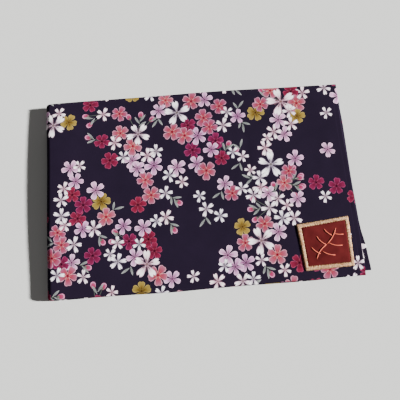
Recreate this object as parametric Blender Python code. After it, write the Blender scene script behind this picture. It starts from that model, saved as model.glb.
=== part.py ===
"""Folded handkerchief: a square printed cotton cloth folded in three, then in half,
with a small red label on a tan backing at the corner of its top layer.

Metres, +Z up, +X along the longest side, +Y away from the person it is laid before.
"""

import math

import bmesh
import bpy

MM = 0.001

# Cloth
SHEET = 1.0 * MM          # thickness of one layer
LAYER_GAP = 0.4 * MM      # air between layers of the fold in three
HALF_GAP = 0.5 * MM       # air between the two halves
HALF_LENGTH = 114.1 * MM  # centre of the folded cloth to its left fold
RIGHT_END = 112.0 * MM    # centre of the folded cloth to the hem of its top layer
NEAR_TURN = 72.3 * MM     # where the near fold's bend starts
NEAR_DEPTH = 2.6 * MM     # how far that soft bend reaches past its start
FAR_TURN = 73.6 * MM      # where the far fold's bend starts
TOP_HEM = 74.3 * MM       # far hem of the outer layer
TUCKED_HEM = 71.0 * MM    # near hem of the middle layer, inside the near fold

# How far each layer reaches past the right end (mm), at places along its hem
TOP, BOTTOM = 1, -1
HEM_PLACES = (-75.0, -62.0, -37.0, 0.0, 42.0, 75.0)
REACHES = (
    # half, layer counted from the middle, reach at each place above
    (TOP, 2, (0.0, 0.1, 0.2, 0.0, -1.0, -0.1)),
    (TOP, 1, (0.6, 0.7, 0.8, 0.7, 0.6, 0.4)),
    (TOP, 0, (1.2, 1.3, 1.3, 1.3, 1.3, 0.7)),
    (BOTTOM, 0, (5.9, 5.1, 2.5, 1.8, 1.9, 0.8)),
    (BOTTOM, 1, (6.4, 5.4, 2.9, 2.1, 2.4, 0.6)),
    (BOTTOM, 2, (6.9, 5.6, 3.2, 2.2, 2.0, 0.5)),
)
CORNER_BACK = 3.2 * MM    # how far the bottom half's right corner lies back from the near edge

# Soft swells of the top, pressed down to nothing at the underside
SWELLS = (
    # x (mm), y (mm), spread x (mm), spread y (mm), rise (mm)
    (-66.0, 24.0, 40.0, 36.0, 0.9),
    (-40.0, -34.0, 52.0, 24.0, 0.7),
    (34.0, 26.0, 46.0, 32.0, 0.8),
    (48.0, -40.0, 40.0, 22.0, 0.5),
    (92.0, 54.0, 28.0, 24.0, 0.5),
    (104.0, -54.0, 30.0, 24.0, 0.5),
)

# Label corners on the top, anticlockwise from the near left
LABEL_CORNERS = (
    # x (mm), y (mm) of the backing, x (mm), y (mm) of the face
    (70.1, -68.6, 71.8, -65.9),
    (104.9, -67.8, 102.7, -65.3),
    (105.3, -31.6, 102.8, -34.2),
    (67.2, -34.8, 70.1, -37.3),
)
LABEL_SHEET = 1.0 * MM    # thickness of the backing and of the face
LABEL_GAP = 0.3 * MM      # air below each of them

# Divisions
FLAT_STEPS = 10           # along one layer, fold to fold
BEND_STEPS = 8            # round a fold in three
RUN_STEPS = 14            # left fold to right end
TURN_STEPS = 12           # round the left fold
LABEL_STEPS = 10          # each way on the label

# Sizes that follow from those above
LAYER_PITCH = SHEET + LAYER_GAP
HALF_HEIGHT = 3 * SHEET + 2 * LAYER_GAP
HEIGHT = 2 * HALF_HEIGHT + HALF_GAP
MIDDLE = HEIGHT / 2
TURN_X = -HALF_LENGTH + HALF_GAP / 2 + HALF_HEIGHT


def soft(t):
    """Smooth step from 0 to 1."""
    t = min(max(t, 0.0), 1.0)
    return t * t * (3 - 2 * t)


def fold_in_three():
    """The cloth's centre line across its width, from the tucked hem to the top hem.

    Each point is its place in Y, its height above the half's inner face, and the two
    parts of the direction that its printed side faces.
    """
    inner = SHEET / 2
    middle = inner + LAYER_PITCH
    outer = middle + LAYER_PITCH
    line = []

    def straight(start, end, height, facing):
        for i in range(FLAT_STEPS + 1):
            line.append((start + (end - start) * i / FLAT_STEPS, height, 0.0, facing))

    def bend(start_y, depth, centre_b, radius, first):
        for i in range(1, BEND_STEPS):
            angle = first - math.pi * i / BEND_STEPS
            across, up = math.cos(angle), math.sin(angle)
            out_y, out_b = across * radius, up * depth
            size = math.hypot(out_y, out_b)
            line.append((start_y + depth * across, centre_b + radius * up,
                         out_y / size, out_b / size))

    straight(-TUCKED_HEM, FAR_TURN, middle, 1.0)
    bend(FAR_TURN, LAYER_PITCH / 2, (inner + middle) / 2, LAYER_PITCH / 2, math.pi / 2)
    straight(FAR_TURN, -NEAR_TURN, inner, -1.0)
    bend(-NEAR_TURN, NEAR_DEPTH, middle, LAYER_PITCH, -math.pi / 2)
    straight(-NEAR_TURN, TOP_HEM, outer, 1.0)
    return line


def along_hem(values, y):
    """A value from a row of REACHES at a place along the hem."""
    at = y / MM
    for i in range(len(HEM_PLACES) - 1):
        if at <= HEM_PLACES[i + 1]:
            break
    share = soft((at - HEM_PLACES[i]) / (HEM_PLACES[i + 1] - HEM_PLACES[i]))
    return values[i] + (values[i + 1] - values[i]) * share


def reach(half, y, b):
    """How far the hem at height b of a half lies past the right end."""
    rows = sorted((row for row in REACHES if row[0] == half), key=lambda row: row[1])
    place = min(max((b - SHEET / 2) / LAYER_PITCH, 0.0), 2.0)
    low = min(int(place), 1)
    ends = [along_hem(row[2], y) for row in rows]
    return (ends[low] + (ends[low + 1] - ends[low]) * (place - low)) * MM


def swell(x, y):
    """Rise of the top face at a place."""
    rise = 0.0
    for cx, cy, wide, deep, high in SWELLS:
        away = ((x / MM - cx) / wide) ** 2 + ((y / MM - cy) / deep) ** 2
        rise += high * MM * math.exp(-away)
    return rise


def uneven(x, y, z, half):
    """A place on the evenly folded cloth, moved to where the laid cloth has it."""
    along = (x + HALF_LENGTH) / (HALF_LENGTH + RIGHT_END)
    near = soft(-y / NEAR_TURN)
    far = soft(y / FAR_TURN)
    left = soft(1 - 2.2 * along)
    lower = 0.5 * (1 - half)
    near_wave = 0.35 * (1 - along) + 0.25 * math.sin(15.0 * along + 2.0)
    near_wave += lower * (0.35 * math.sin(9.0 * along + 1.2) - 0.25)
    far_wave = 1.35 * math.sin(math.pi * along) - 0.2 + 0.2 * math.sin(13.0 * along)
    far_wave -= lower * 0.6
    left_lean = 0.7 * y / NEAR_TURN + 0.15 * math.sin(5.0 * y / NEAR_TURN)
    moved_x = x + left * left_lean * MM
    moved_y = y + (far * far_wave - near * near_wave) * MM
    if lower:
        moved_y += CORNER_BACK * near * soft((x - 0.082) / 0.032) ** 2
    moved_z = z + swell(x, y) * max(z / HEIGHT, 0.0) ** 1.5
    return moved_x, moved_y, moved_z


def place(half, share, y, b):
    """A point of the cloth on a straight run: share is 0 at the left fold, 1 at the right hem."""
    run = RIGHT_END - TURN_X
    x = TURN_X + run * share + reach(half, y, b) * share ** 4
    return uneven(x, y, MIDDLE + half * (HALF_GAP / 2 + b), half)


def turn(angle, y, b):
    """A point of the cloth in the left fold: angle is 0 at its top, pi at its bottom."""
    radius = HALF_GAP / 2 + b
    x = TURN_X - radius * math.sin(angle)
    z = MIDDLE + radius * math.cos(angle)
    even = soft(angle / math.pi)
    high = uneven(x, y, z, TOP)
    low = uneven(x, y, z, BOTTOM)
    return tuple(h * (1 - even) + lo * even for h, lo in zip(high, low))


def cloth_rows():
    """Rows of (printed side, plain side) points, one row for each station along X."""
    line = fold_in_three()
    stations = [("run", TOP, 1 - i / RUN_STEPS) for i in range(RUN_STEPS + 1)]
    stations += [("turn", 0, math.pi * i / TURN_STEPS) for i in range(1, TURN_STEPS)]
    stations += [("run", BOTTOM, i / RUN_STEPS) for i in range(RUN_STEPS + 1)]
    rows = []
    for kind, half, where in stations:
        row = []
        for y, b, out_y, out_b in line:
            pair = []
            for side in (0.5, -0.5):
                at_y = y + side * SHEET * out_y
                at_b = b + side * SHEET * out_b
                if kind == "run":
                    pair.append(place(half, where, at_y, at_b))
                else:
                    pair.append(turn(where, at_y, at_b))
            row.append(pair)
        rows.append(row)
    return rows


def label_rows(first, low):
    """Rows of (top, bottom) points of a label piece; first picks its corners' columns."""
    (x0, y0), (x1, y1), (x2, y2), (x3, y3) = [c[first:first + 2] for c in LABEL_CORNERS]
    rows = []
    for i in range(LABEL_STEPS + 1):
        u = i / LABEL_STEPS
        row = []
        for j in range(LABEL_STEPS + 1):
            v = j / LABEL_STEPS
            x = (x0 * (1 - u) + x1 * u) * (1 - v) + (x3 * (1 - u) + x2 * u) * v
            y = (y0 * (1 - u) + y1 * u) * (1 - v) + (y3 * (1 - u) + y2 * u) * v
            edge_u, edge_v = 2 * u - 1, 2 * v - 1
            x += 0.25 * edge_u ** 3 * math.sin(9.0 * v + 2.0 + first)
            y += 0.25 * edge_v ** 3 * math.sin(8.0 * u + 1.0 + first)
            corner = max(abs(edge_u) + abs(edge_v) - 1.8, 0.0) / 0.2
            x -= 0.45 * corner ** 2 * math.copysign(1, edge_u)
            y -= 0.45 * corner ** 2 * math.copysign(1, edge_v)
            row.append([uneven(x * MM, y * MM, z, TOP) for z in (low + LABEL_SHEET, low)])
        rows.append(row)
    return rows


def solid_from_rows(name, rows, material):
    """A closed sheet: two faces from the rows' pairs of points, joined round its four edges."""
    mesh = bpy.data.meshes.new(name)
    bm = bmesh.new()
    grid = [[[bm.verts.new(point) for point in pair] for pair in row] for row in rows]
    last_i, last_j = len(grid) - 1, len(grid[0]) - 1
    for i in range(last_i):
        for j in range(last_j):
            for side in (0, 1):
                bm.faces.new((grid[i][j][side], grid[i + 1][j][side],
                              grid[i + 1][j + 1][side], grid[i][j + 1][side]))
    for i in range(last_i):
        for j in (0, last_j):
            bm.faces.new((grid[i][j][0], grid[i + 1][j][0], grid[i + 1][j][1], grid[i][j][1]))
    for j in range(last_j):
        for i in (0, last_i):
            bm.faces.new((grid[i][j][0], grid[i][j + 1][0], grid[i][j + 1][1], grid[i][j][1]))
    bmesh.ops.recalc_face_normals(bm, faces=bm.faces)
    bmesh.ops.triangulate(bm, faces=bm.faces)
    bm.to_mesh(mesh)
    bm.free()
    for face in mesh.polygons:
        face.use_smooth = True
    mesh.materials.append(material)
    piece = bpy.data.objects.new(name, mesh)
    bpy.context.scene.collection.objects.link(piece)
    return piece


def principled(name, colour, roughness):
    material = bpy.data.materials.new(name)
    material.use_nodes = True
    shader = material.node_tree.nodes["Principled BSDF"]
    shader.inputs["Base Color"].default_value = (*colour, 1.0)
    shader.inputs["Roughness"].default_value = roughness
    shader.inputs["Metallic"].default_value = 0.0
    return material


def centre_on_base(pieces):
    """Moves all the points so that the origin is the middle of the underside's box."""
    points = [v.co for piece in pieces for v in piece.data.vertices]
    low = [min(p[i] for p in points) for i in range(3)]
    high = [max(p[i] for p in points) for i in range(3)]
    shift = ((low[0] + high[0]) / 2, (low[1] + high[1]) / 2, low[2])
    for piece in pieces:
        for v in piece.data.vertices:
            v.co.x -= shift[0]
            v.co.y -= shift[1]
            v.co.z -= shift[2]


for old in list(bpy.data.objects):
    bpy.data.objects.remove(old, do_unlink=True)

printed_cotton = principled("printed_cotton", (0.030, 0.022, 0.042), 0.85)
tan_weave = principled("tan_weave", (0.56, 0.37, 0.22), 0.90)
red_leather = principled("red_leather", (0.20, 0.026, 0.020), 0.60)

cloth = solid_from_rows("cloth", cloth_rows(), printed_cotton)
backing = solid_from_rows(
    "label_backing", label_rows(0, HEIGHT + LABEL_GAP), tan_weave)
face = solid_from_rows(
    "label_face", label_rows(2, HEIGHT + LABEL_SHEET + 2 * LABEL_GAP), red_leather)
centre_on_base([cloth, backing, face])
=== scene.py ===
"""A folded handkerchief of printed cotton on a pale table, seen from above its near side."""

import math
import random

import bmesh
import bpy
import numpy as np
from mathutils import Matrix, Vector
from mathutils.geometry import delaunay_2d_cdt


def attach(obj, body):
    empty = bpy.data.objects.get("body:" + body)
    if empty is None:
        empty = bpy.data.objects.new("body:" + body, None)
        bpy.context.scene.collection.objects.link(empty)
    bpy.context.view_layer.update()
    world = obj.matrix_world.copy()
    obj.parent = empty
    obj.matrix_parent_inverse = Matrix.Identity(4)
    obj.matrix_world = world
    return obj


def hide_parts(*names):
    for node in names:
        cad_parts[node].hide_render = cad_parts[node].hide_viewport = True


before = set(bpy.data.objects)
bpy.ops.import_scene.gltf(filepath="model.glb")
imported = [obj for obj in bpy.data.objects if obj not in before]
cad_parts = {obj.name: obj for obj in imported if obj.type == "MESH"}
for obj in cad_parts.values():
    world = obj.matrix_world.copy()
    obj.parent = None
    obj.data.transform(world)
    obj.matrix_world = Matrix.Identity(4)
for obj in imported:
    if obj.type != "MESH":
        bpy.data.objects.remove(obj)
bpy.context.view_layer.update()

MM = 0.001

# Everything below is laid out in millimetres from the middle of the folded cloth,
# and this is where the shared frame's origin lies in that layout
ORIGIN = (2.118, 0.034, 0.0)

# Cloth
THICK = 0.45              # one layer
HALF_HEIGHT = 3.8         # three layers folded together
HALF_GAP = 0.5            # air between the two halves
HEIGHT = 2 * HALF_HEIGHT + HALF_GAP
MIDDLE = HEIGHT / 2
PITCH = (HALF_HEIGHT - THICK) / 2
HALF_LENGTH = 114.1       # middle to the left fold
RIGHT_END = 112.0         # middle to the right hem of the top layer
NEAR_TURN = 72.3          # where the near fold's bend starts
NEAR_DEPTH = 2.6          # how far that bend reaches past its start
FAR_TURN = 73.6           # where the far fold's bend starts
TOP_HEM = 74.3            # far hem of the outer layer
TUCKED_HEM = 71.0         # near hem of the middle layer
TURN_X = -HALF_LENGTH + HALF_GAP / 2 + HALF_HEIGHT

# Hem: turned over to the plain side all round
HEM_WIDTH = 3.6
HEM_EXTRA = 0.45          # added thickness
HEM_STEP = 0.2            # half the width of the step down from it
SEAM_IN = 0.5             # its sewn line, from the step
SEAM_DIP = 0.07
SEAM_WIDTH = 0.35
RIM = 0.4                 # rounding of the outermost edge

# Right hems of the two halves
TOP, BOTTOM = 1, -1
HEM_PLACES = (-75.0, -62.0, -37.0, 0.0, 42.0, 75.0)
REACHES = {
    # half: reach past the right end at each place above, for the inner, middle, outer layer
    TOP: ((1.2, 1.3, 1.3, 1.3, 1.3, 0.7),
          (0.6, 0.7, 0.8, 0.7, 0.6, 0.4),
          (0.0, 0.1, 0.2, 0.0, -1.0, -0.1)),
    BOTTOM: ((5.9, 5.1, 2.5, 1.8, 1.9, 0.8),
             (6.4, 5.4, 2.9, 2.1, 2.4, 0.6),
             (6.9, 5.6, 3.2, 2.2, 2.0, 0.5)),
}
REACH_POWER = 4           # the reaches are worked in late, near the hems
CORNER_BACK = 3.2         # the lower half's near corner is drawn back this far
CORNER_START, CORNER_LENGTH = 82, 32

SWELLS = (
    # x, y, spread x, spread y, rise
    (-66.0, 24.0, 40.0, 36.0, 0.9),
    (-40.0, -34.0, 52.0, 24.0, 0.7),
    (34.0, 26.0, 46.0, 32.0, 0.8),
    (48.0, -40.0, 40.0, 22.0, 0.5),
    (92.0, 54.0, 28.0, 24.0, 0.5),
    (104.0, -54.0, 30.0, 24.0, 0.5),
    (-108.0, 16.0, 24.0, 76.0, 1.9),
)
SWELL_POWER = 1.5         # the swells fade towards the table

# Soft creases of the top layer: a trough or ridge along a line
CREASES = (
    # x, y of its middle, heading (degrees), length, width, rise
    (-38.0, 4.0, 84.0, 130.0, 3.2, -0.16),
    (37.0, 2.0, 93.0, 138.0, 3.0, -0.18),
    (-80.0, -44.0, 28.0, 40.0, 3.4, 0.16),
    (-10.0, 58.0, 8.0, 60.0, 3.8, 0.14),
    (66.0, -8.0, 150.0, 46.0, 3.2, 0.15),
    (96.0, 22.0, 70.0, 50.0, 3.4, 0.16),
    (10.0, -52.0, 172.0, 56.0, 3.6, 0.14),
    (-92.0, 50.0, 120.0, 34.0, 3.0, 0.13),
)
CREASE_STRAY = 1.2        # how far a crease wanders from its line
CREASE_FADE = 0.3         # share of its length over which each end fades
BROAD_COCKLE, FINE_COCKLE = 0.035, 0.02

# How far the edges of the laid cloth stray from straight
NEAR_OUT = 0.35           # near edge at the left, none at the right
NEAR_WAVE = 0.25
NEAR_BOW, NEAR_BOW_END = 0.9, 0.75        # outwards, over this share of the length
FAR_BOW = 1.35
FAR_BACK = 0.2
FAR_WAVE = 0.2
LEFT_OUT = 0.1
LEFT_LEAN = 0.3           # outwards at the far end, inwards at the near end
LEFT_WAVE = 0.15
LEFT_FADE = 2.2           # these three are gone at the length divided by this
LOWER_WAVE = 0.35         # of the lower half against the upper
LOWER_NEAR_BACK, LOWER_FAR_BACK = 0.25, 0.6


def soft(t):
    """Smooth step from 0 to 1."""
    t = np.clip(t, 0.0, 1.0)
    return t * t * (3 - 2 * t)


# The fold in three, across the cloth: flat length of each part, from the tucked hem on
LOW, MID, HIGH = THICK / 2, THICK / 2 + PITCH, THICK / 2 + 2 * PITCH
FAR_BEND = math.pi * PITCH / 2
NEAR_BEND = math.pi * math.sqrt((NEAR_DEPTH ** 2 + PITCH ** 2) / 2)
PARTS = (TUCKED_HEM + FAR_TURN, FAR_BEND, FAR_TURN + NEAR_TURN, NEAR_BEND, NEAR_TURN + TOP_HEM)
ENDS = np.concatenate([[0.0], np.cumsum(PARTS)])
FLAT_V = float(ENDS[-1])

# The fold in half, along it: flat length from the left fold's middle
TURN_U = math.pi / 2 * (HALF_GAP / 2 + HIGH)
RUN_U = RIGHT_END - TURN_X
FLAT_U = TURN_U + RUN_U


def section(v):
    """Place in Y, height in its half and the printed side's direction, across the cloth."""
    v = np.asarray(v, float)
    share = [(v - ENDS[i]) / PARTS[i] for i in range(5)]
    far = math.pi / 2 - math.pi * share[1]
    near = -math.pi / 2 - math.pi * share[3]
    part = [v < ENDS[1], v < ENDS[2], v < ENDS[3], v < ENDS[4]]
    y = np.select(part, [-TUCKED_HEM + PARTS[0] * share[0], FAR_TURN + PITCH / 2 * np.cos(far),
                         FAR_TURN - PARTS[2] * share[2], -NEAR_TURN + NEAR_DEPTH * np.cos(near)],
                  -NEAR_TURN + PARTS[4] * share[4])
    b = np.select(part, [MID + 0 * v, (LOW + MID) / 2 + PITCH / 2 * np.sin(far),
                         LOW + 0 * v, MID + PITCH * np.sin(near)], HIGH + 0 * v)
    size = np.hypot(np.cos(near) * PITCH, np.sin(near) * NEAR_DEPTH)
    out_y = np.select(part, [0 * v, np.cos(far), 0 * v, np.cos(near) * PITCH / size], 0 * v)
    out_b = np.select(part, [1 + 0 * v, np.sin(far), -1 + 0 * v,
                             np.sin(near) * NEAR_DEPTH / size], 1 + 0 * v)
    return y, b, out_y, out_b


def along_hem(values, y):
    """A value from a row of REACHES at places along the hem."""
    out = np.full_like(y, values[0])
    for i in range(len(HEM_PLACES) - 1):
        share = soft((y - HEM_PLACES[i]) / (HEM_PLACES[i + 1] - HEM_PLACES[i]))
        out = out + (values[i + 1] - values[i]) * share
    return out


def reach(half, y, b):
    """How far the hem at height b of a half lies past the right end."""
    inner, middle, outer = (along_hem(row, y) for row in REACHES[half])
    place = np.clip((b - LOW) / PITCH, 0.0, 2.0)
    return np.where(place < 1, inner + (middle - inner) * place,
                    middle + (outer - middle) * (place - 1))


def swell(x, y):
    """Rise of the top at a place."""
    rise = 0 * x
    for cx, cy, wide, deep, high in SWELLS:
        rise = rise + high * np.exp(-((x - cx) / wide) ** 2 - ((y - cy) / deep) ** 2)
    return rise


def crease(x, y):
    """Small soft creases of the top layer, with a faint cockle all over."""
    rise = BROAD_COCKLE * np.sin(0.23 * x + 1.7 * np.sin(0.11 * y)) * np.sin(0.19 * y + 0.6)
    rise = rise + FINE_COCKLE * np.sin(0.61 * y - 0.35 * x + 1.3 * np.sin(0.21 * x))
    for cx, cy, heading, length, width, high in CREASES:
        c, s = math.cos(math.radians(heading)), math.sin(math.radians(heading))
        along = (x - cx) * c + (y - cy) * s
        across = (y - cy) * c - (x - cx) * s + CREASE_STRAY * np.sin(along * 0.09 + cx)
        fade = soft((length / 2 - np.abs(along)) / (CREASE_FADE * length))
        rise = rise + high * fade * np.exp(-(across / width) ** 2)
    return rise


def near_stray(along, lower):
    """Outward stray of the near edge, with lower 0 for the upper half and 1 for the lower."""
    out = NEAR_OUT * (1 - along) + NEAR_WAVE * np.sin(15.0 * along + 2.0)
    out = out + NEAR_BOW * np.sin(math.pi * np.clip(along / NEAR_BOW_END, 0.0, 1.0))
    return out + lower * (LOWER_WAVE * np.sin(9.0 * along + 1.2) - LOWER_NEAR_BACK)


def far_stray(along, lower):
    """Outward stray of the far edge."""
    out = FAR_BOW * np.sin(math.pi * along) - FAR_BACK + FAR_WAVE * np.sin(13.0 * along)
    return out - lower * LOWER_FAR_BACK


def left_stray(y):
    """Stray of the left edge along X."""
    return -LEFT_OUT - LEFT_LEAN * y / NEAR_TURN + LEFT_WAVE * np.sin(5.0 * y / NEAR_TURN)


def uneven(x, y, z, half):
    """A place on the evenly folded cloth, moved to where the laid cloth has it."""
    along = (x + HALF_LENGTH) / (HALF_LENGTH + RIGHT_END)
    near, far, left = soft(-y / NEAR_TURN), soft(y / FAR_TURN), soft(1 - LEFT_FADE * along)
    lower = 0.5 * (1 - half)
    height = np.clip(z / HEIGHT, 0.0, None)
    moved_y = y + far * far_stray(along, lower) - near * near_stray(along, lower)
    corner = soft((x - CORNER_START) / CORNER_LENGTH) ** 2
    moved_y = moved_y + lower * CORNER_BACK * near * corner
    in_top = soft(height * 1.6 - 0.6)
    moved_z = z + swell(x, y) * height ** SWELL_POWER + crease(x, y) * in_top
    return np.stack([x + left * left_stray(y), moved_y, moved_z], axis=-1)


def lay(u, v, w):
    """Where a point of the flat cloth lies: u along, v across, w out of the printed side."""
    u, v, w = (np.asarray(k, float) for k in (u, v, w))
    y, b, out_y, out_b = section(v)
    y, b = y + w * out_y, b + w * out_b
    runs = []
    for half in (TOP, BOTTOM):
        share = np.clip((half * u - TURN_U) / RUN_U, 0.0, 1.0)
        x = TURN_X + RUN_U * share + reach(half, y, b) * share ** REACH_POWER
        runs.append(uneven(x, y, MIDDLE + half * (HALF_GAP / 2 + b), half))
    angle = np.clip((1 - u / TURN_U) * math.pi / 2, 0.0, math.pi)
    x = TURN_X - (HALF_GAP / 2 + b) * np.sin(angle)
    z = MIDDLE + (HALF_GAP / 2 + b) * np.cos(angle)
    even = soft(angle / math.pi)[..., None]
    bend = uneven(x, y, z, TOP) * (1 - even) + uneven(x, y, z, BOTTOM) * even
    place = np.where((u > TURN_U)[..., None], runs[0],
                     np.where((u < -TURN_U)[..., None], runs[1], bend))
    return (place - ORIGIN) * MM


def edge_distance(u, v):
    """Distance of a place on the flat cloth from its nearest edge."""
    return np.minimum(FLAT_U - np.abs(u), np.minimum(v, FLAT_V - v))


def surfaces(u, v):
    """How far the printed and the plain face lie out of the cloth's middle at a place."""
    d = edge_distance(u, v)
    extra = HEM_EXTRA * soft((HEM_WIDTH + HEM_STEP - d) / (2 * HEM_STEP))
    rim = np.sqrt(np.clip(1 - (1 - np.clip(d / RIM, 0.0, 1.0)) ** 2, 0.0, 1.0))
    seam = SEAM_DIP * np.exp(-((d - HEM_WIDTH + SEAM_IN) / SEAM_WIDTH) ** 2)
    thick = (THICK + extra) / 2
    return -extra / 2 + thick * rim - seam, -extra / 2 - thick * rim


# Print: blossoms, buds and leaves on a dark ground, thick along a few drifts and sparse
# between them. One seeded rule scatters them over a repeat, where neighbours may overlap.
REPEAT_U, REPEAT_V = 230.0, 150.0
SEED = 11
TRIES = 6000              # throws before a blossom that finds no room is left out
CLOSE = 0.58              # least spacing, as a share of two blossoms' mean width
SPARSE = 0.045            # how readily bare ground takes a blossom, where a drift has 1
DRIFTS = (
    # x, y of its middle, heading (degrees), half length, half depth
    (-95.0, -30.0, 80.0, 42.0, 15.0),
    (-45.0, 20.0, 115.0, 28.0, 13.0),
    (-85.0, 65.0, 10.0, 18.0, 9.0),
    (0.0, 50.0, 105.0, 38.0, 14.0),
    (65.0, 35.0, 75.0, 40.0, 14.0),
    (55.0, -20.0, 120.0, 24.0, 11.0),
    (-45.0, -50.0, 140.0, 28.0, 10.0),
    (30.0, -60.0, 15.0, 26.0, 12.0),
)
SORTS = (
    # kind, how many in a repeat, least and greatest width, how readily bare ground takes it
    ("white", 7, 17.0, 24.0, 0.0),
    ("white", 62, 9.5, 13.0, SPARSE),
    ("lavender", 31, 12.0, 14.5, SPARSE),
    ("coral", 29, 12.0, 15.0, 0.5 * SPARSE),
    ("crimson", 23, 11.5, 13.5, 2 * SPARSE),
    ("mustard", 6, 12.5, 14.0, 1.0),
)
ON_TOP = {"white": 0.55, "lavender": 0.15, "coral": 0.25, "crimson": 0.0, "mustard": 0.0}

# Sprigs
SPRAYS = 32               # tries in a repeat
SPRIG_PAST = (4.0, 7.5)   # least and greatest growth past the blossom's edge
SPRIG_HEADINGS = 18
SPRIG_TIP = 2             # room is looked for this far past the stem
SPRIG_ROOM = 1.5          # least room there
SPRIG_SPREAD = 4.0        # half width that a grown sprig takes
BUDS = (0, 1, 2, 0, 3)    # in turn
LEAVES = (2, 3, 2)

# Motifs on the flat cloth are plainer where the cloth is covered or seen from below
COVERED, PLAIN, FULL = 0, 1, 2
ROUND_A_BEND = 9          # a motif this close to a bend may reach round it
MOTIF_REACH = 14.0        # a motif whose foot is this far off the cloth doesn't reach it


def srgb(red, green, blue):
    """Linear colour from the usual 0 to 255 values."""
    return tuple(k / 255 / 12.92 if k <= 10 else ((k / 255 + 0.055) / 1.055) ** 2.4
                 for k in (red, green, blue))


GROUND = srgb(25, 18, 33)
PLAIN_SIDE = srgb(46, 42, 58)
PETALS = {
    # kind: half width, depth of the notch in the tip
    "white": (0.245, 0.2),
    "large": (0.255, 0.16),
    "lavender": (0.29, 0.03),
    "coral": (0.37, 0.05),
    "crimson": (0.37, 0.05),
    "mustard": (0.38, 0.05),
}
SHADES = {
    # kind: colours of the rim, foot and tip of a petal, of the heart and of the stamens
    "white": ((140, 132, 150), (150, 142, 162), (246, 244, 250), (70, 66, 62), (64, 56, 70)),
    "cream": ((166, 132, 150), (184, 136, 158), (248, 236, 240), (90, 64, 60), (90, 60, 70)),
    "lavender": ((212, 172, 206), (104, 44, 92), (180, 128, 172), (52, 20, 46), (74, 34, 66)),
    "lilac": ((224, 194, 216), (128, 68, 110), (196, 150, 188), (60, 26, 50), (88, 46, 78)),
    "coral": ((164, 114, 142), (114, 6, 28), (132, 66, 98), (72, 1, 18), (176, 92, 96)),
    "salmon": ((180, 134, 148), (130, 14, 30), (150, 84, 106), (96, 3, 20), (196, 124, 112)),
    "crimson": ((128, 48, 92), (54, 3, 24), (98, 24, 60), (28, 0, 12), (122, 40, 70)),
    "red": ((136, 54, 80), (62, 4, 20), (106, 25, 48), (32, 1, 8), (124, 46, 60)),
    "mustard": ((142, 124, 66), (70, 50, 12), (124, 104, 46), (48, 28, 8), (54, 34, 10)),
    "ochre": ((152, 132, 72), (84, 60, 18), (134, 112, 52), (54, 28, 8), (60, 36, 10)),
}
SECOND = {"white": "cream", "lavender": "lilac", "coral": "salmon", "crimson": "red",
          "mustard": "ochre"}
BUD_SHADES = ((184, 118, 152), (110, 12, 40), (148, 58, 96), (80, 88, 78))
LEAF_SHADES = ((148, 150, 150), (64, 70, 70), (108, 112, 112), (178, 180, 178))
LARGE = 16.5              # a white blossom wider than this has long stamens and more veins
FADE, CORAL_FADE = 0.72, 0.95     # share of a petal at which its tip's colour is reached


def apart(a, b):
    """Distance between two places of the repeat, the short way round."""
    du, dv = abs(a[0] - b[0]) % REPEAT_U, abs(a[1] - b[1]) % REPEAT_V
    return math.hypot(min(du, REPEAT_U - du), min(dv, REPEAT_V - dv))


def drift(x, y):
    """1 along the middle of a drift, falling to 0 between drifts."""
    most = 0.0
    for cx, cy, heading, long, deep in DRIFTS:
        dx = (x - cx + REPEAT_U / 2) % REPEAT_U - REPEAT_U / 2
        dy = (y - cy + REPEAT_V / 2) % REPEAT_V - REPEAT_V / 2
        c, s = math.cos(math.radians(heading)), math.sin(math.radians(heading))
        along, across = (dx * c + dy * s) / long, (dy * c - dx * s) / deep
        most = max(most, math.exp(-along ** 2 - across ** 2))
    return most


def scatter_blossoms(pick):
    """Kind, place, width, turn and mood of each blossom of a repeat, the widest first."""
    wanted = [(pick.uniform(least, most), kind, bare)
              for kind, count, least, most, bare in SORTS for _ in range(count)]
    blossoms = []
    for width, kind, bare in sorted(wanted, reverse=True):
        for _ in range(TRIES):
            place = (pick.uniform(-REPEAT_U / 2, REPEAT_U / 2),
                     pick.uniform(-REPEAT_V / 2, REPEAT_V / 2))
            if pick.random() > bare + (1 - bare) * drift(*place):
                continue
            if all(apart(place, b[1]) > CLOSE * (width + b[2]) / 2 for b in blossoms):
                blossoms.append((kind, place, width, pick.uniform(0, 2 * math.pi),
                                 pick.random()))
                break
    return blossoms


def scatter_sprigs(pick, blossoms):
    """Foot, length, heading, buds and leaves of each sprig, which grows into bare ground."""
    taken = [(place, width / 2) for _, place, width, _, _ in blossoms]
    sprigs = []
    for number in range(SPRAYS):
        _, foot, width, _, _ = pick.choice(blossoms)
        length = width / 2 + pick.uniform(*SPRIG_PAST)
        found = []
        for step in range(SPRIG_HEADINGS):
            heading = 2 * math.pi * step / SPRIG_HEADINGS
            tip = (foot[0] + (length + SPRIG_TIP) * math.cos(heading),
                   foot[1] + (length + SPRIG_TIP) * math.sin(heading))
            found.append((min(apart(tip, p) - r for p, r in taken), heading, tip))
        room, heading, tip = max(found)
        if room > SPRIG_ROOM:
            sprigs.append((foot, length, heading, BUDS[number % len(BUDS)],
                           LEAVES[number % len(LEAVES)]))
            taken.append((tip, SPRIG_SPREAD))
    return sprigs


class Chart:
    """Outlines on the flat cloth, each with its colours, later ones over earlier ones."""

    def __init__(self):
        self.points, self.loops, self.paints = [], [], []

    def add(self, loop, near, far, centre=(0.0, 0.0), start=0.0, end=1.0):
        """near and far are colours at the distances start and end from centre."""
        area = sum(a[0] * b[1] - b[0] * a[1] for a, b in zip(loop, loop[1:] + loop[:1]))
        if area < 0:
            loop = loop[::-1]
        first = len(self.points)
        self.points += [Vector(p) for p in loop]
        self.loops.append(list(range(first, first + len(loop))))
        self.paints.append((near, far, centre, start, end))


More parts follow.
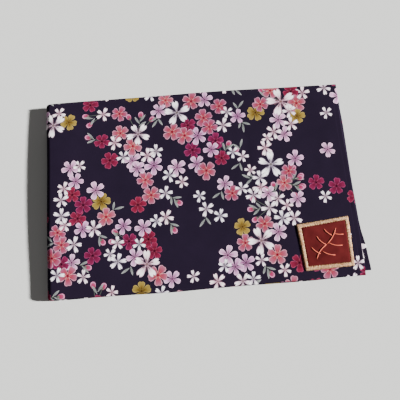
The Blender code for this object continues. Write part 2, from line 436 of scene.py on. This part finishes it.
def turned(points, centre, angle, size):
    """Points scaled, turned about their origin and moved to a centre."""
    c, s = math.cos(angle) * size, math.sin(angle) * size
    return [(centre[0] + x * c - y * s, centre[1] + x * s + y * c) for x, y in points]


def tone(colour, other, share):
    """A colour part of the way to another."""
    return tuple(a + (b - a) * share for a, b in zip(colour, other))


PETAL = (
    # along the petal, share of its half width
    (0.07, 0.07), (0.27, 0.40), (0.50, 0.80), (0.70, 1.0), (0.87, 0.90), (0.98, 0.46),
)
PLAIN_PETAL = (PETAL[0], PETAL[2], PETAL[4], PETAL[5])
PETAL_INSET = 0.04        # width of a petal's rim
VEIN = ((0.2, -0.032), (0.68, 0.0), (0.2, 0.032))
VEIN_LEAN = 0.28          # of a large petal's outer veins


def petal(half_width, notch, rows, inset=0.0):
    """Outline of one petal that points along X, foot near 0 and tip at 1."""
    side = [(0.5 + (x - 0.5) * (1 - 2.2 * inset), max(half_width * w - inset, 0.012))
            for x, w in rows]
    tip = [(side[-1][0] - notch, 0.0)]
    return [(x, -y) for x, y in side] + tip + side[::-1]


class Blossom:
    """A five-petalled blossom. mood, from 0 to 1, moves its colours to the second shades."""

    def __init__(self, chart, kind, centre, width, turn, mood):
        self.chart, self.centre, self.turn, self.size = chart, centre, turn, width / 2
        self.rim, self.foot, self.tip, self.heart, self.stamen = (
            tone(srgb(*one), srgb(*two), mood)
            for one, two in zip(SHADES[kind], SHADES[SECOND[kind]]))
        self.large = width > LARGE
        self.half_width, self.notch = PETALS["large" if self.large else kind]
        self.fade = CORAL_FADE if kind == "coral" else FADE

    def paint(self, loop, near, far, start, end):
        """Add an outline whose colours run between two shares of the blossom's half width."""
        self.chart.add(loop, near, far, self.centre, start * self.size, end * self.size)

    def draw(self, detail):
        if detail == COVERED:
            self.draw_star()
            return
        for k in range(5):
            angle = self.turn + k * 2 * math.pi / 5 + 0.05 * math.sin(self.turn * 3.1 + k * 2.3)
            length = self.size * (1 + 0.05 * math.sin(self.turn * 1.7 + k * 2.9))
            if detail == FULL:
                self.draw_petal(angle, length)
            else:
                shape = petal(self.half_width, self.notch, PLAIN_PETAL)
                self.paint(turned(shape, self.centre, angle, length), self.foot, self.tip,
                           0.2, self.fade)
        if detail == FULL:
            self.draw_stamens()
        self.draw_heart()

    def draw_star(self):
        """The whole blossom as one star."""
        star = [turned([(0.98 - 0.6 * (k % 2), 0.0)], self.centre,
                       self.turn + k * math.pi / 5, self.size)[0] for k in range(10)]
        self.paint(star, self.foot, self.tip, 0.2, self.fade)

    def draw_petal(self, angle, length):
        """A petal's rim, its inside and its veins."""
        outer = petal(self.half_width, self.notch, PETAL)
        self.paint(turned(outer, self.centre, angle, length), tone(self.rim, self.foot, 0.6),
                   self.rim, 0.1, 0.6)
        inner = petal(self.half_width, self.notch, PETAL if self.large else PLAIN_PETAL,
                      PETAL_INSET)
        self.paint(turned(inner, self.centre, angle, length), self.foot, self.tip,
                   0.15, self.fade)
        for lean in (-VEIN_LEAN, 0.0, VEIN_LEAN) if self.large else (0.0,):
            vein = turned(VEIN, self.centre, angle + lean, (1 - 0.3 * abs(lean)) * length)
            self.paint(vein, tone(self.foot, self.stamen, 0.7), tone(self.tip, self.foot, 0.8),
                       0.2, 0.6)

    def draw_stamens(self):
        rays = 9 if self.large else 5
        for k in range(rays):
            angle = self.turn + math.pi / 5 + 2 * math.pi * k / rays
            long = 0.40 + 0.06 * math.sin(k * 2.2 + self.turn)
            ray = [(0.05, 0.0), (long, -0.038), (long + 0.06, 0.0), (long, 0.038)]
            self.chart.add(turned(ray, self.centre, angle, self.size), self.stamen, self.stamen)

    def draw_heart(self):
        star = [turned([(0.09 if k % 2 else 0.17, 0.0)], self.centre,
                       self.turn + math.pi / 5 * (k + 1), self.size)[0] for k in range(10)]
        self.paint(star, self.heart, tone(self.heart, self.foot, 0.5), 0.0, 0.2)


def lens(long, wide, steps=5):
    """Outline of a pointed leaf along X from 0."""
    side = [(long * i / steps, wide * math.sin(math.pi * i / steps) ** 0.8)
            for i in range(1, steps)]
    return [(0.0, 0.0)] + [(x, -y) for x, y in side] + [(long, 0.0)] + side[::-1]


def draw_bud(chart, centre, length, lean, detail):
    """A thin stem with a drop-shaped bud at its end."""
    rim, foot_shade, tip, calyx = (srgb(*k) for k in BUD_SHADES)
    stem = [(0.0, -0.16), (0.85 * length, -0.12), (0.85 * length, 0.12), (0.0, 0.16)]
    chart.add(turned(stem, centre, lean, 1.0), calyx, calyx)
    foot = turned([(0.8 * length, 0.0)], centre, lean, 1.0)[0]
    drop = [(5.4 * (0.5 - 0.5 * math.cos(t)), 1.9 * math.sin(t) * (1 - 0.25 * math.cos(t)))
            for t in (2 * math.pi * i / 10 for i in range(10))]
    chart.add(turned(drop, foot, lean, 1.0), foot_shade, rim, foot, 0.0, 4.0)
    if detail == FULL:
        chart.add(turned(drop, turned([(0.5, 0)], foot, lean, 1)[0], lean, 0.74),
                  foot_shade, tip, foot, 0.5, 4.0)
        chart.add(turned(lens(1.9, 0.7, 4), foot, lean, 1.0), calyx, calyx)


def draw_leaf(chart, foot, long, lean, detail):
    """A pointed leaf with its rim and middle rib."""
    rim, foot_shade, tip, rib = (srgb(*k) for k in LEAF_SHADES)
    chart.add(turned(lens(long, 0.85), foot, lean, 1.0), foot_shade, rim, foot, 0.0, long)
    if detail == FULL:
        inner = turned([(0.4, 0.0)], foot, lean, 1.0)[0]
        chart.add(turned(lens(long * 0.84, 0.56), inner, lean, 1.0), foot_shade, tip,
                  foot, 0.0, long)
        line = [(0.3, -0.07), (long * 0.8, -0.04), (long * 0.8, 0.04), (0.3, 0.07)]
        chart.add(turned(line, foot, lean, 1.0), rib, rib)


def draw_sprig(chart, centre, length, heading, buds, leaves, detail):
    """Stems with buds at their ends, and leaves on both sides."""
    for k in range(buds):
        draw_bud(chart, centre, length, heading + (k - (buds - 1) / 2) * 0.6, detail)
    for k in range(leaves):
        lean = heading + (1 if k % 2 else -1) * (0.5 + 0.2 * k)
        foot = turned([(length * (0.62 - 0.1 * k), 0.0)], centre, heading, 1.0)[0]
        draw_leaf(chart, foot, 7.4 - 0.6 * k, lean, detail)


def on_top(x, y):
    """Flat place of a point of the top layer."""
    return TURN_U + x - TURN_X, ENDS[4] + y + NEAR_TURN


def detail_at(u, v):
    """How fully a motif is drawn at a place on the flat cloth."""
    if v < ENDS[3] - ROUND_A_BEND:
        return PLAIN if ENDS[1] - ROUND_A_BEND < v < ENDS[2] + ROUND_A_BEND else COVERED
    return FULL if u > -TURN_U - ROUND_A_BEND else PLAIN


def repeats(place):
    """Each flat place on or near the cloth where the repeat brings a motif."""
    u0, v0 = on_top(*place)
    for i in (-1, 0, 1):
        for j in (-3, -2, -1, 0, 1):
            u, v = u0 + i * REPEAT_U, v0 + j * REPEAT_V
            if abs(u) < FLAT_U + MOTIF_REACH and -MOTIF_REACH < v < FLAT_V + MOTIF_REACH:
                yield u, v


def chart_print():
    """The whole cloth's print. Its first outline is the ground, then sprigs, then blossoms."""
    pick = random.Random(SEED)
    blossoms = scatter_blossoms(pick)
    sprigs = scatter_sprigs(pick, blossoms)
    blossoms.sort(key=lambda b: ON_TOP[b[0]] + pick.random())
    chart = Chart()
    corners = [(-FLAT_U, 0.0), (FLAT_U, 0.0), (FLAT_U, FLAT_V), (-FLAT_U, FLAT_V)]
    chart.add(corners, GROUND, GROUND)
    for foot, *growth in sprigs:
        for place in repeats(foot):
            if detail_at(*place) != COVERED:
                draw_sprig(chart, place, *growth, detail_at(*place))
    for kind, middle, *look in blossoms:
        for place in repeats(middle):
            Blossom(chart, kind, place, *look).draw(detail_at(*place))
    return chart


# Spacing of the lines on the flat cloth that carry its bends and hems
FINE_STEP = 5.5           # on the top layer of the printed face, both ways
STEP_U, STEP_V = 22.0, 9.0
LEFT_FOLD_STEP, FAR_FOLD_STEP, NEAR_FOLD_STEP = 1.0, 0.45, 0.65
HEM_CLEAR = 1.5           # first even line, from the hem
CUT_TOLERANCE = 0.003


def spread(start, end, step):
    """Even places from start to end, about a step apart."""
    count = max(1, round((end - start) / step))
    return [start + (end - start) * i / count for i in range(count + 1)]


def grid_lines(fine):
    """The lines, as pairs of ends. Where fine, they lie closer on the top layer."""
    hem = (0.06, 0.2, RIM, HEM_WIDTH - SEAM_IN, HEM_WIDTH - HEM_STEP, HEM_WIDTH + HEM_STEP)
    u_end, v_end = FLAT_U - HEM_WIDTH - HEM_CLEAR, FLAT_V - HEM_WIDTH - HEM_CLEAR
    us = spread(TURN_U, u_end, STEP_U) + [FLAT_U - d for d in hem]
    us += [-u for u in us] + spread(-TURN_U, TURN_U, LEFT_FOLD_STEP)[1:-1]
    vs = spread(HEM_WIDTH + HEM_CLEAR, ENDS[1], STEP_V)
    vs += spread(ENDS[1], ENDS[2], FAR_FOLD_STEP)[1:-1]
    vs += spread(ENDS[2], ENDS[3], STEP_V)
    vs += spread(ENDS[3], ENDS[4], NEAR_FOLD_STEP)[1:-1]
    vs += spread(ENDS[4], v_end, STEP_V)
    vs += [d for d in hem] + [FLAT_V - d for d in hem]
    lines = [((u, 0.0), (u, FLAT_V)) for u in us] + [((-FLAT_U, v), (FLAT_U, v)) for v in vs]
    if fine:
        lines += [((u, ENDS[4]), (u, FLAT_V - HEM_WIDTH))
                  for u in spread(TURN_U, u_end, FINE_STEP)]
        lines += [((0.0, v), (FLAT_U - HEM_WIDTH, v)) for v in spread(ENDS[4], v_end, FINE_STEP)]
    return lines


def cut(points, loops, fine):
    """Triangles of the flat cloth, cut along all the loops and the grid lines.

    Gives the places, the triangles and the last loop laid over each triangle."""
    points, edges = list(points), []
    for start, end in grid_lines(fine):
        edges.append((len(points), len(points) + 1))
        points += [Vector(start), Vector(end)]
    found = delaunay_2d_cdt(points, edges, loops, 0, CUT_TOLERANCE, True)
    places = np.array([tuple(p) for p in found[0]])
    spans = [(min(points[i].x for i in loop), max(points[i].x for i in loop),
              min(points[i].y for i in loop), max(points[i].y for i in loop)) for loop in loops]

    def top_loop(face, ids):
        """The last loop laid over a face. A loop that doesn't reach it isn't counted."""
        x, y = places[face].mean(axis=0)
        for i in sorted(ids, reverse=True):
            if spans[i][0] < x < spans[i][1] and spans[i][2] < y < spans[i][3]:
                return i
        return 0

    kept = [(f, top_loop(f, ids)) for f, ids in zip(found[2], found[5]) if 0 in ids]
    faces = np.array([f for f, _ in kept])
    p, q, r = (places[faces[:, i]] for i in range(3))
    area = (q[:, 0] - p[:, 0]) * (r[:, 1] - p[:, 1]) - (q[:, 1] - p[:, 1]) * (r[:, 0] - p[:, 0])
    faces[area < 0] = faces[area < 0][:, ::-1]
    return places, faces, np.array([top for _, top in kept])


def on_border(faces, count):
    """True for each of count points that lies on an edge of one triangle alone."""
    edges = np.sort(np.concatenate([faces[:, :2], faces[:, 1:], faces[:, ::2]]), axis=1)
    pairs, times = np.unique(edges, axis=0, return_counts=True)
    found = np.zeros(count, bool)
    found[pairs[times == 1]] = True
    return found


def cell(p):
    """A small square of the flat cloth, by which a point of one face finds the other's."""
    return round(float(p[0]) * 200), round(float(p[1]) * 200)


def numbered_on(places, rim, plain_places, plain_rim):
    """A number for each point of the plain face, and a list of those that are its own.

    It shares its border points with the printed face, and the others are numbered on."""
    shared = {cell(places[i]): i for i in np.flatnonzero(rim)}
    near = dict(shared)
    for (a, b), i in shared.items():
        for da in (-1, 0, 1):
            for db in (-1, 0, 1):
                near.setdefault((a + da, b + db), i)
    numbers, own = [], []
    for i, p in enumerate(plain_places):
        same = near.get(cell(p)) if plain_rim[i] else None
        if same is None:
            same = len(places) + len(own)
            own.append(i)
        numbers.append(same)
    return np.array(numbers), own


def sound(triangles):
    """True for each triangle that has three points and is there once.

    At the cloth's four corners a triangle of both faces can have the same three points."""
    ordered = np.sort(triangles, axis=1)
    _, same_as, times = np.unique(ordered, axis=0, return_inverse=True, return_counts=True)
    return (np.diff(ordered, axis=1) > 0).all(axis=1) & (times[same_as.ravel()] == 1)


def both_faces(chart):
    """The printed and the plain face as one closed net of triangles on the flat cloth.

    Gives its places, which of them are on the border and which on the plain face, the
    triangles with the printed face's first, and the outline on top of each of those."""
    places, faces, tops = cut(chart.points, chart.loops, True)
    rim = on_border(faces, len(places))
    edge = places[rim]
    ring = edge[np.argsort(np.arctan2(edge[:, 1] - FLAT_V / 2, edge[:, 0]))]
    plain_places, plain_faces, _ = cut([Vector(p) for p in ring],
                                       [list(range(len(ring)))], False)
    numbers, own = numbered_on(places, rim, plain_places,
                               on_border(plain_faces, len(plain_places)))
    triangles = np.concatenate([faces, numbers[plain_faces][:, ::-1]])
    kept = sound(triangles)
    used, triangles = np.unique(triangles[kept], return_inverse=True)
    flat = np.concatenate([places, plain_places[own]])[used]
    rim = np.concatenate([rim, np.zeros(len(own), bool)])[used]
    return flat, rim, used >= len(places), triangles.reshape(-1, 3), tops[kept[:len(faces)]]


FACING_STEP = 0.02


def facing(u, v, side):
    """The way the printed or the plain face looks at a place, by small steps."""
    u0, u1 = (np.clip(u + step, -FLAT_U, FLAT_U) for step in (-FACING_STEP, FACING_STEP))
    v0, v1 = (np.clip(v + step, 0, FLAT_V) for step in (-FACING_STEP, FACING_STEP))
    du = lay(u1, v, surfaces(u1, v)[side]) - lay(u0, v, surfaces(u0, v)[side])
    dv = lay(u, v1, surfaces(u, v1)[side]) - lay(u, v0, surfaces(u, v0)[side])
    out = np.cross(du, dv)
    if side:
        out = -out
    return out / np.maximum(np.linalg.norm(out, axis=1), 1e-12)[:, None]


def print_colours(chart, flat, triangles, tops):
    """Colour at each corner of the triangles: the print in front, the plain side behind.

    The strip that the hem turns over has the ground's colour."""
    near, far, centre, start, end = (np.array([paint[i] for paint in chart.paints], float)
                                     for i in range(5))
    which = np.repeat(np.concatenate([tops, np.zeros(len(triangles) - len(tops), int)]), 3)
    away = np.linalg.norm(flat[triangles.reshape(-1)] - centre[which], axis=1)
    share = np.clip((away - start[which]) / (end[which] - start[which]), 0, 1)[:, None]
    colour = near[which] * (1 - share) + far[which] * share
    plain = edge_distance(*flat[triangles].mean(axis=1).T) > HEM_WIDTH
    plain[:len(tops)] = False
    colour[np.repeat(plain, 3)] = PLAIN_SIDE
    return np.concatenate([colour, np.ones((len(colour), 1))], axis=1)


def make_cloth(material):
    """The folded cloth, with its print as a colour attribute and its flat shape as UV map."""
    chart = chart_print()
    flat, rim, plain, triangles, tops = both_faces(chart)
    u, v = flat.T
    printed_face, plain_face = surfaces(u, v)
    points = lay(u, v, np.where(plain, plain_face, printed_face))
    normals = facing(u, v, 0)
    normals[rim] += facing(u[rim], v[rim], 1)
    normals[plain] = facing(u[plain], v[plain], 1)

    mesh = bpy.data.meshes.new("cloth_visual")
    mesh.from_pydata(points.tolist(), [], triangles.tolist())
    mesh.update()
    mesh.polygons.foreach_set("use_smooth", [True] * len(mesh.polygons))
    colours = mesh.attributes.new("print", "FLOAT_COLOR", "CORNER")
    colours.data.foreach_set("color", print_colours(chart, flat, triangles, tops).ravel())
    uv = mesh.uv_layers.new(name="flat_cloth")
    uv.data.foreach_set("uv", (flat[triangles.reshape(-1)] * MM).ravel())
    mesh.normals_split_custom_set_from_vertices(normals.tolist())
    return new_piece("printed_cloth", mesh, material)


def new_piece(name, mesh, material):
    """An object at the origin, unturned and unscaled."""
    mesh.materials.append(material)
    piece = bpy.data.objects.new(name, mesh)
    bpy.context.scene.collection.objects.link(piece)
    return piece


def above_top(x, y, above):
    """Points a little above the top layer's printed face."""
    u, v = on_top(np.asarray(x, float), np.asarray(y, float))
    return lay(u, v, np.full_like(u, THICK / 2) + above)


def new_material(name, colour, roughness, specular=0.05):
    """A material of one colour, with its node tree and shader to build on."""
    material = bpy.data.materials.new(name)
    material.use_nodes = True
    shader = material.node_tree.nodes["Principled BSDF"]
    shader.inputs["Base Color"].default_value = (*colour, 1.0)
    shader.inputs["Roughness"].default_value = roughness
    shader.inputs["Specular IOR Level"].default_value = specular
    return material, material.node_tree, shader


def add_node(tree, kind, **values):
    """A new node with its input values."""
    node = tree.nodes.new(kind)
    for name, value in values.items():
        node.inputs[name.replace("_", " ")].default_value = value
    return node


def noise(tree, place, scale, detail):
    """Smooth noise over a place."""
    node = add_node(tree, "ShaderNodeTexNoise", Scale=scale, Detail=detail)
    tree.links.new(place, node.inputs["Vector"])
    return node.outputs["Fac"]


def two_values(tree, operation, first, second):
    """The sum or product of two values."""
    node = tree.nodes.new("ShaderNodeMath")
    node.operation = operation
    tree.links.new(first, node.inputs[0])
    tree.links.new(second, node.inputs[1])
    return node.outputs[0]


def two_colours(tree, shader, share, low, high):
    """A base colour that runs between two, each with its place on the ramp."""
    ramp = tree.nodes.new("ShaderNodeValToRGB")
    for element, (position, colour) in zip(ramp.color_ramp.elements, (low, high)):
        element.position = position
        element.color = (*colour, 1)
    tree.links.new(share, ramp.inputs["Fac"])
    tree.links.new(ramp.outputs["Color"], shader.inputs["Base Color"])


def relief(tree, shader, height, strength, depth):
    """Fine bumps, their depth in metres."""
    bump = add_node(tree, "ShaderNodeBump", Strength=strength, Distance=depth)
    tree.links.new(height, bump.inputs["Height"])
    tree.links.new(bump.outputs["Normal"], shader.inputs["Normal"])


def cotton():
    """Printed cotton: the print's colour, a plain weave and small differences of yarn."""
    material, tree, shader = new_material("printed_cotton", (0.03, 0.02, 0.04), 0.9, 0.03)
    uv = tree.nodes.new("ShaderNodeUVMap")
    uv.uv_map = "flat_cloth"
    ink = tree.nodes.new("ShaderNodeAttribute")
    ink.attribute_name = "print"
    yarn = noise(tree, uv.outputs["UV"], 900.0, 3.0)
    patch = noise(tree, uv.outputs["UV"], 45.0, 2.0)
    level = add_node(tree, "ShaderNodeMapRange", From_Min=0.6, From_Max=1.4,
                     To_Min=0.86, To_Max=1.12)
    tree.links.new(two_values(tree, "ADD", yarn, patch), level.inputs["Value"])
    tint = tree.nodes.new("ShaderNodeVectorMath")
    tint.operation = "SCALE"
    tree.links.new(ink.outputs["Color"], tint.inputs[0])
    tree.links.new(level.outputs["Result"], tint.inputs["Scale"])
    tree.links.new(tint.outputs["Vector"], shader.inputs["Base Color"])
    threads = []
    for way in ("X", "Y"):
        wave = add_node(tree, "ShaderNodeTexWave", Scale=620.0, Distortion=1.2, Detail=1.0)
        wave.bands_direction = way
        tree.links.new(uv.outputs["UV"], wave.inputs["Vector"])
        threads.append(wave.outputs["Fac"])
    relief(tree, shader, two_values(tree, "MULTIPLY", *threads), 0.25, 0.00012)
    return material


def tan_weave():
    """Coarse tan cloth, for the label's backing and the stitches of its border."""
    material, tree, shader = new_material("tan_weave", srgb(196, 158, 116), 0.88)
    where = tree.nodes.new("ShaderNodeTexCoord")
    fibre = noise(tree, where.outputs["Object"], 700.0, 4.0)
    two_colours(tree, shader, fibre, (0.32, srgb(164, 118, 80)), (0.68, srgb(228, 192, 152)))
    relief(tree, shader, fibre, 0.5, 0.0002)
    return material


def red_leather():
    """Dull red leather with a fine grain, for the label's face."""
    material, tree, shader = new_material("red_leather", srgb(74, 22, 22), 0.72, 0.02)
    where = tree.nodes.new("ShaderNodeTexCoord")
    grain = add_node(tree, "ShaderNodeTexVoronoi", Scale=1500.0)
    tree.links.new(where.outputs["Object"], grain.inputs["Vector"])
    cloud = noise(tree, where.outputs["Object"], 110.0, 4.0)
    two_colours(tree, shader, cloud, (0.3, srgb(64, 18, 19)), (0.7, srgb(82, 26, 27)))
    relief(tree, shader, grain.outputs["Distance"], 0.3, 0.00015)
    return material


# Label: its corners on the top layer, anticlockwise from the near left
BACKING = ((70.1, -68.6), (104.9, -67.8), (105.3, -31.6), (67.2, -34.8))
FACE = ((71.8, -65.9), (102.7, -65.3), (102.8, -34.2), (70.1, -37.3))
BACKING_THICK = 0.35
BACKING_LOW = 0.05        # its underside above the cloth
FACE_LOW = 0.08           # the face's underside above the height BACKING_THICK
FACE_THICK = 0.55         # and its top above the same height
BACKING_RAGGED, FACE_RAGGED = 0.16, 0.08
FACE_DOME = 0.12
LABEL_STEPS = 40          # squares along each side of the label's sheets
LABEL_REACH = 17.0        # about, from its middle to an edge
LABEL_ROUNDING = 0.5      # of the upper and lower edges
CORNER_FROM = 1.86        # a corner starts at this sum of the shares from the middle
CORNER_IN = 0.4           # and is drawn in by this
WELD = 1e-7               # metres


def quad_point(corners, u, v):
    """A place within the label, u and v from 0 to 1."""
    (x0, y0), (x1, y1), (x2, y2), (x3, y3) = corners
    x = (x0 * (1 - u) + x1 * u) * (1 - v) + (x3 * (1 - u) + x2 * u) * v
    y = (y0 * (1 - u) + y1 * u) * (1 - v) + (y3 * (1 - u) + y2 * u) * v
    return x, y


def closed_piece(bm, name, material):
    """A smooth piece of one closed shape, or of several."""
    bmesh.ops.remove_doubles(bm, verts=bm.verts[:], dist=WELD)
    bmesh.ops.recalc_face_normals(bm, faces=bm.faces[:])
    for face in bm.faces:
        face.smooth = True
    mesh = bpy.data.meshes.new(name)
    bm.to_mesh(mesh)
    bm.free()
    return new_piece(name, mesh, material)


def label_sheet(name, corners, low, thick, material, ragged, dome):
    """A closed thin sheet within four corners, with slightly ragged edges."""
    bm = bmesh.new()
    bmesh.ops.create_grid(bm, x_segments=LABEL_STEPS, y_segments=LABEL_STEPS, size=1.0)
    upper = list(bm.verts)
    copied = bmesh.ops.duplicate(bm, geom=bm.verts[:] + bm.edges[:] + bm.faces[:])["geom"]
    under = [k for k in copied if isinstance(k, bmesh.types.BMVert)]
    for verts, side in ((upper, 1), (under, -1)):
        eu, ev = np.array([vert.co[:2] for vert in verts]).T
        u, v = (eu + 1) / 2, (ev + 1) / 2
        x, y = quad_point(corners, u, v)
        wave_u = np.sin(31 * v + 2) + 0.6 * np.sin(67 * v) + 0.5 * np.sin(9 * v + 2)
        wave_v = np.sin(29 * u + 1) + 0.6 * np.sin(71 * u) + 0.5 * np.sin(8 * u + 1)
        corner = np.clip(np.abs(eu) + np.abs(ev) - CORNER_FROM, 0, None) / (2 - CORNER_FROM)
        x = x + ragged * eu ** 9 * wave_u - CORNER_IN * corner ** 2 * np.sign(eu)
        y = y + ragged * ev ** 9 * wave_v - CORNER_IN * corner ** 2 * np.sign(ev)
        inward = np.minimum(1 - np.abs(eu), 1 - np.abs(ev)) * LABEL_REACH
        flat_share = 1 - np.clip(inward / LABEL_ROUNDING, 0, 1)
        round_off = np.sqrt(np.clip(1 - flat_share ** 2, 0, 1))
        above = low + thick / 2 + side * thick / 2 * round_off
        if side > 0:
            above = above + dome * (1 - eu ** 4) * (1 - ev ** 4)
        for vert, place in zip(verts, above_top(x, y, above)):
            vert.co = place
    return closed_piece(bm, name, material)


THREAD_END = 0.55         # radius at a thread's ends, as a share
BORDER_THREAD, SPRIG_THREAD = 0.26, 0.36
SIDE_STITCHES = 58        # along each side of the label
STITCH_LIFT = 0.5         # height of its arch
STITCH_POINTS, STROKE_POINTS = 6, 9
FACE_SIDE = 31.0          # about, for the places of the strokes
STROKE_BOW = 0.1          # share of its length, where its bow is 1
STROKE_LIFT, STROKE_SUNK, STROKE_WAVE = 0.32, 0.05, 0.05
SPRIG_STROKES = (
    # x and y from the face's near left corner, start then end, and the bow of the stroke
    (7.0, 5.0, 15.5, 15.0, 1.0),
    (15.5, 15.0, 23.5, 26.0, -0.8),
    (10.2, 8.8, 4.6, 14.6, 0.9),
    (11.6, 10.4, 20.4, 6.4, -0.9),
    (15.2, 14.8, 9.4, 22.6, 1.0),
    (16.6, 16.2, 26.4, 12.8, -1.0),
    (20.2, 21.0, 15.2, 27.0, 0.8),
    (21.2, 22.4, 28.2, 20.6, -0.7),
)


def thread_piece(name, paths, radius, material):
    """Threads along paths of points in metres, thinner at their ends."""
    curve = bpy.data.curves.new(name, "CURVE")
    curve.dimensions = "3D"
    curve.bevel_depth = radius
    curve.bevel_resolution = 1
    curve.use_fill_caps = True
    for path in paths:
        spline = curve.splines.new("POLY")
        spline.points.add(len(path) - 1)
        for i, place in enumerate(path):
            spline.points[i].co = (*place, 1.0)
            spline.points[i].radius = THREAD_END if i in (0, len(path) - 1) else 1.0
    holder = bpy.data.objects.new(name + "_curve", curve)
    bm = bmesh.new()
    bm.from_mesh(holder.to_mesh())
    holder.to_mesh_clear()
    bpy.data.objects.remove(holder)
    bpy.data.curves.remove(curve)
    return closed_piece(bm, name, material)


def border_stitch(outer, inner):
    """A stitch's path from the backing's edge, over the border, onto the face."""
    path = []
    for k in range(STITCH_POINTS):
        q = k / (STITCH_POINTS - 1)
        p = outer.lerp(inner, q)
        lift = BACKING_THICK + 0.05 + STITCH_LIFT * math.sin(math.pi * (0.12 + 0.66 * q))
        path.append(above_top(p.x, p.y, lift if k else 0.2))
    return path


def border_stitches(material):
    """Close tan stitches over the label's border."""
    paths = []
    for side in range(4):
        a, b = BACKING[side], BACKING[(side + 1) % 4]
        c, d = FACE[side], FACE[(side + 1) % 4]
        for i in range(SIDE_STITCHES):
            t = (i + 0.5) / SIDE_STITCHES
            wobble = 0.16 * math.sin(i * 2.7 + side) + 0.1 * math.sin(i * 5.1)
            outer = Vector((a[0] + (b[0] - a[0]) * t, a[1] + (b[1] - a[1]) * t))
            s = min(max(t + 0.008 * math.sin(i * 1.9 + side), 0.0), 1.0)
            inner = Vector((c[0] + (d[0] - c[0]) * s, c[1] + (d[1] - c[1]) * s))
            ahead = (inner - outer).normalized()
            paths.append(border_stitch(outer + ahead * (0.05 - wobble),
                                       inner + ahead * (0.25 + wobble)))
    return thread_piece("label_border_stitches", paths, BORDER_THREAD * MM, material)


def sprig_stitches(material):
    """A plain sprig of long stitches on the label's face."""
    paths = []
    for x0, y0, x1, y1, bow in SPRIG_STROKES:
        path = []
        for k in range(STROKE_POINTS):
            t = k / (STROKE_POINTS - 1)
            x = x0 + (x1 - x0) * t - (y1 - y0) * STROKE_BOW * bow * math.sin(math.pi * t)
            y = y0 + (y1 - y0) * t + (x1 - x0) * STROKE_BOW * bow * math.sin(math.pi * t)
            px, py = quad_point(FACE, x / FACE_SIDE, y / FACE_SIDE)
            lift = STROKE_LIFT * min(1.0, 6 * t, 6 * (1 - t)) - STROKE_SUNK
            lift += STROKE_WAVE * math.sin(k * 2.6)
            path.append(above_top(px, py, BACKING_THICK + FACE_THICK + lift))
        paths.append(path)
    return thread_piece("label_sprig_stitches", paths, SPRIG_THREAD * MM, material)


TABLE_HALF_SIDE = 1.5     # metres


def make_table(material):
    """A plain square of table."""
    bm = bmesh.new()
    bmesh.ops.create_grid(bm, x_segments=1, y_segments=1, size=TABLE_HALF_SIDE)
    mesh = bpy.data.meshes.new("table_top")
    bm.to_mesh(mesh)
    bm.free()
    return new_piece("table_top", mesh, material)


printed = cotton()
tan = tan_weave()
leather = red_leather()
pink_thread, _, _ = new_material("pink_thread", srgb(198, 98, 78), 0.8)
pale_table, _, _ = new_material("pale_table", srgb(198, 200, 199), 0.9, 0.1)

cloth = make_cloth(printed)
backing = label_sheet("label_backing_sheet", BACKING, BACKING_LOW, BACKING_THICK, tan,
                      BACKING_RAGGED, 0.0)
face = label_sheet("label_face_sheet", FACE, BACKING_THICK + FACE_LOW,
                   FACE_THICK - FACE_LOW, leather, FACE_RAGGED, FACE_DOME)
border = border_stitches(tan)
strokes = sprig_stitches(pink_thread)

for piece, node, slot in ((cloth, "cloth", "printed_cotton"),
                          (backing, "label_backing", "tan_weave"),
                          (face, "label_face", "red_leather"),
                          (border, None, "tan_weave"),
                          (strokes, None, "red_leather")):
    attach(piece, "root")
    if node:
        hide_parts(node)

floor = make_table(pale_table)

# Light from the right, low, with a pale surround. Angles are in degrees.
SUN_HEIGHT = 25.5         # above the table
SUN_TURN = -4.3
SUN_WIDTH = 4
SUN_POWER = 17.0
SUN_COLOUR = (1.0, 0.985, 0.955)
SURROUND_COLOUR = (1.0, 0.96, 0.94, 1.0)
SURROUND_STRENGTH = 0.165


def add_light():
    sun = bpy.data.lights.new("key", "SUN")
    sun.energy = SUN_POWER
    sun.angle = math.radians(SUN_WIDTH)
    sun.color = SUN_COLOUR
    key = bpy.data.objects.new("key", sun)
    key.rotation_euler = (0.0, math.radians(90 - SUN_HEIGHT), math.radians(SUN_TURN))
    bpy.context.scene.collection.objects.link(key)
    world = bpy.data.worlds.new("surround")
    bpy.context.scene.world = world
    world.use_nodes = True
    background = world.node_tree.nodes["Background"]
    background.inputs["Color"].default_value = SURROUND_COLOUR
    background.inputs["Strength"].default_value = SURROUND_STRENGTH


# Camera above the near side
CAMERA_PLACE = (-7.4, -110.9, 379.3)
CAMERA_TURN = (15.05, 0.47, -4.30)        # degrees
LENS, SENSOR = 47.0, 36.0
NEAREST_SEEN = 0.01       # metres


def add_camera():
    view = bpy.data.cameras.new("camera")
    view.lens = LENS
    view.sensor_width = SENSOR
    view.clip_start = NEAREST_SEEN
    camera = bpy.data.objects.new("camera", view)
    camera.location = tuple(k * MM for k in CAMERA_PLACE)
    camera.rotation_euler = tuple(math.radians(k) for k in CAMERA_TURN)
    bpy.context.scene.collection.objects.link(camera)
    bpy.context.scene.camera = camera


add_light()
add_camera()
